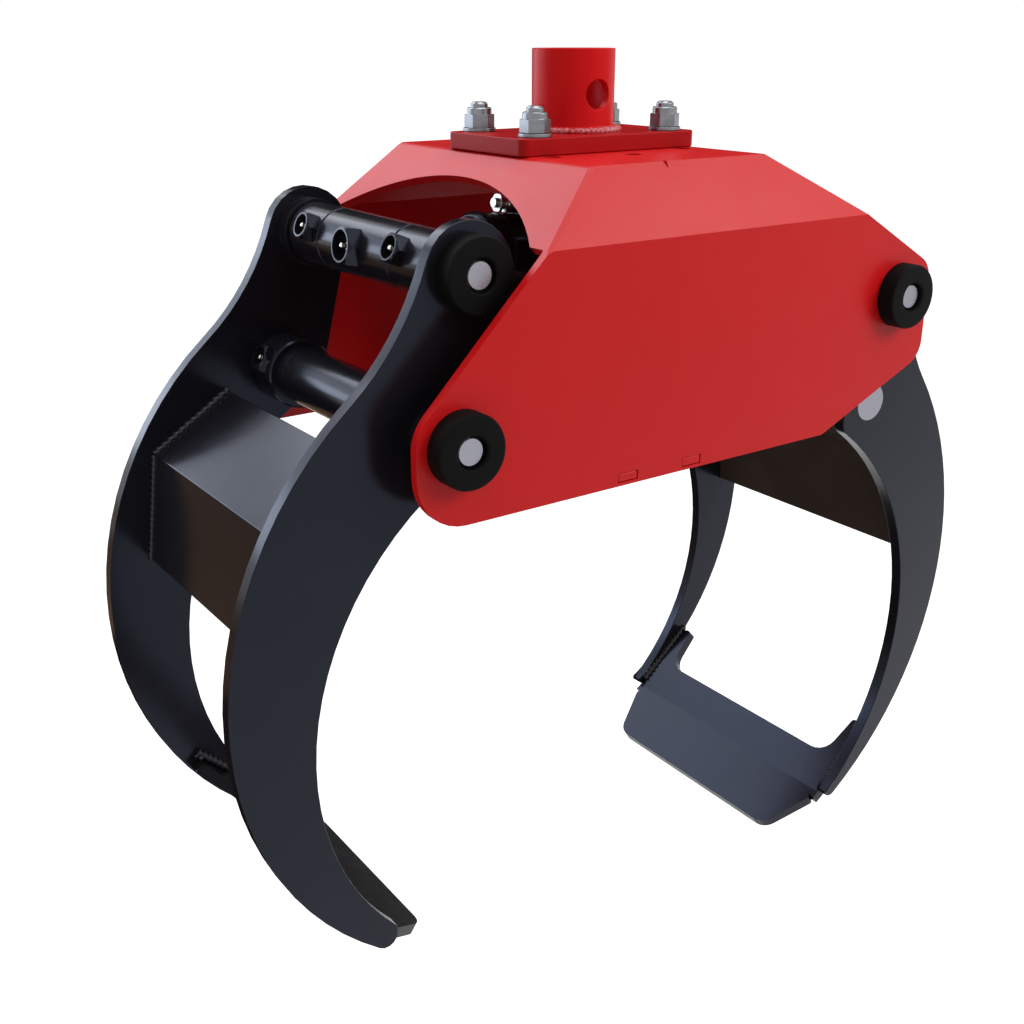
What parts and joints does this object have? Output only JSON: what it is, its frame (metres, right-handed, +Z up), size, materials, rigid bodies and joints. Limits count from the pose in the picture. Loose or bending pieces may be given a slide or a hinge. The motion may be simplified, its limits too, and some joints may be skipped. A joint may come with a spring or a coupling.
{
  "type": "log grapple",
  "caption": "Hydraulic log grapple with two curved claws under a folded hood, hung from a rotator boss and closed by one cylinder with tie rods.",
  "frame": {"origin": "where the axis of the rotator boss crosses the axis of its cross pin", "axes": "+X to the right, along the hood towards the claw on the upper hood pin; +Y away, along the claw pins; +Z up, along the rotator boss"},
  "size_m": [0.849, 0.3998, 0.8544],
  "materials": {
    "red_paint": "satin red paint",
    "black_paint": "satin black paint",
    "bare_steel": "ground steel",
    "zinc_plate": "zinc plated",
    "hard_chrome": "polished",
    "black_cap": "matte black"
  },
  "bodies": {
    "hood": {"hood_shell": "red_paint", "hood_tie_plate": "red_paint", "rotator_plate": "red_paint", "rotator_boss": "red_paint", "rotator_bolt_front_left": "bare_steel", "rotator_bolt_front_right": "bare_steel", "rotator_bolt_back_left": "bare_steel", "rotator_bolt_back_right": "bare_steel", "rotator_washer_front_left": "zinc_plate", "rotator_washer_front_right": "zinc_plate", "rotator_washer_back_left": "zinc_plate", "rotator_washer_back_right": "zinc_plate", "rotator_nut_front_left": "zinc_plate", "rotator_nut_front_right": "zinc_plate", "rotator_nut_back_left": "zinc_plate", "rotator_nut_back_right": "zinc_plate", "pin_a": "bare_steel", "cap_a_front": "black_cap", "cap_a_back": "black_cap", "pin_b": "bare_steel", "cap_b_front": "black_cap", "cap_b_back": "black_cap"},
    "left_claw": {"left_plate_front": "black_paint", "left_plate_back": "black_paint", "left_cross_plate": "black_paint", "left_scoop": "black_paint", "left_pivot_tube": "black_paint", "left_boss_front": "black_paint", "left_boss_back": "black_paint", "left_nipple": "zinc_plate", "pin_c": "bare_steel", "cap_c_front": "black_cap", "cap_c_back": "black_cap"},
    "right_claw": {"right_plate_front": "black_paint", "right_plate_back": "black_paint", "right_cross_plate": "black_paint", "right_scoop": "black_paint", "right_sleeve_front": "black_paint", "right_sleeve_back": "black_paint", "right_washer_front": "zinc_plate", "right_washer_back": "zinc_plate", "pin_d": "bare_steel"},
    "piston_rod_body": {"piston_rod": "hard_chrome", "rod_nipple": "zinc_plate"},
    "barrel_body": {"cylinder_barrel": "black_paint", "cylinder_gland": "black_paint", "port_adapter_left": "zinc_plate", "port_adapter_right": "zinc_plate"},
    "tie_rods": {"tie_rod_front": "black_paint", "tie_rod_back": "black_paint", "tie_nipple_front": "zinc_plate", "tie_nipple_back": "zinc_plate"}
  },
  "joints": [
    {"name": "left_claw_pivot", "type": "hinge", "parent": "hood", "child": "left_claw", "pos_m": [-0.246, 0, -0.248], "axis": [0, -1, 0], "range_deg": [-10, 21.4]},
    {"name": "right_claw_pivot", "type": "hinge", "parent": "hood", "child": "right_claw", "pos_m": [0.266, 0, -0.187], "axis": [0, -1, 0], "range_deg": [-25.57, 12]},
    {"name": "rod_eye_pivot", "type": "hinge", "parent": "left_claw", "child": "piston_rod_body", "pos_m": [-0.2105, 0, -0.1225], "axis": [0, -1, 0], "range_deg": [-21.9, 10.4]},
    {"name": "cylinder_slide", "type": "slide", "parent": "piston_rod_body", "child": "barrel_body", "axis": [0.991, 0, -0.1341], "range_m": [-0.023, 0.0485]},
    {"name": "tie_rod_pivot", "type": "hinge", "parent": "left_claw", "child": "tie_rods", "pos_m": [-0.2105, 0, -0.1225], "axis": [0, -1, 0], "range_deg": [-21.5, 10.2]}
  ],
  "couplings": [
    {"joint": "right_claw_pivot", "follows": "left_claw_pivot", "ratio": -1.19},
    {"joint": "rod_eye_pivot", "follows": "left_claw_pivot", "ratio": -1.01},
    {"joint": "cylinder_slide", "follows": "left_claw_pivot", "m_per_rad": 0.127},
    {"joint": "tie_rod_pivot", "follows": "left_claw_pivot", "ratio": -0.995}
  ]
}
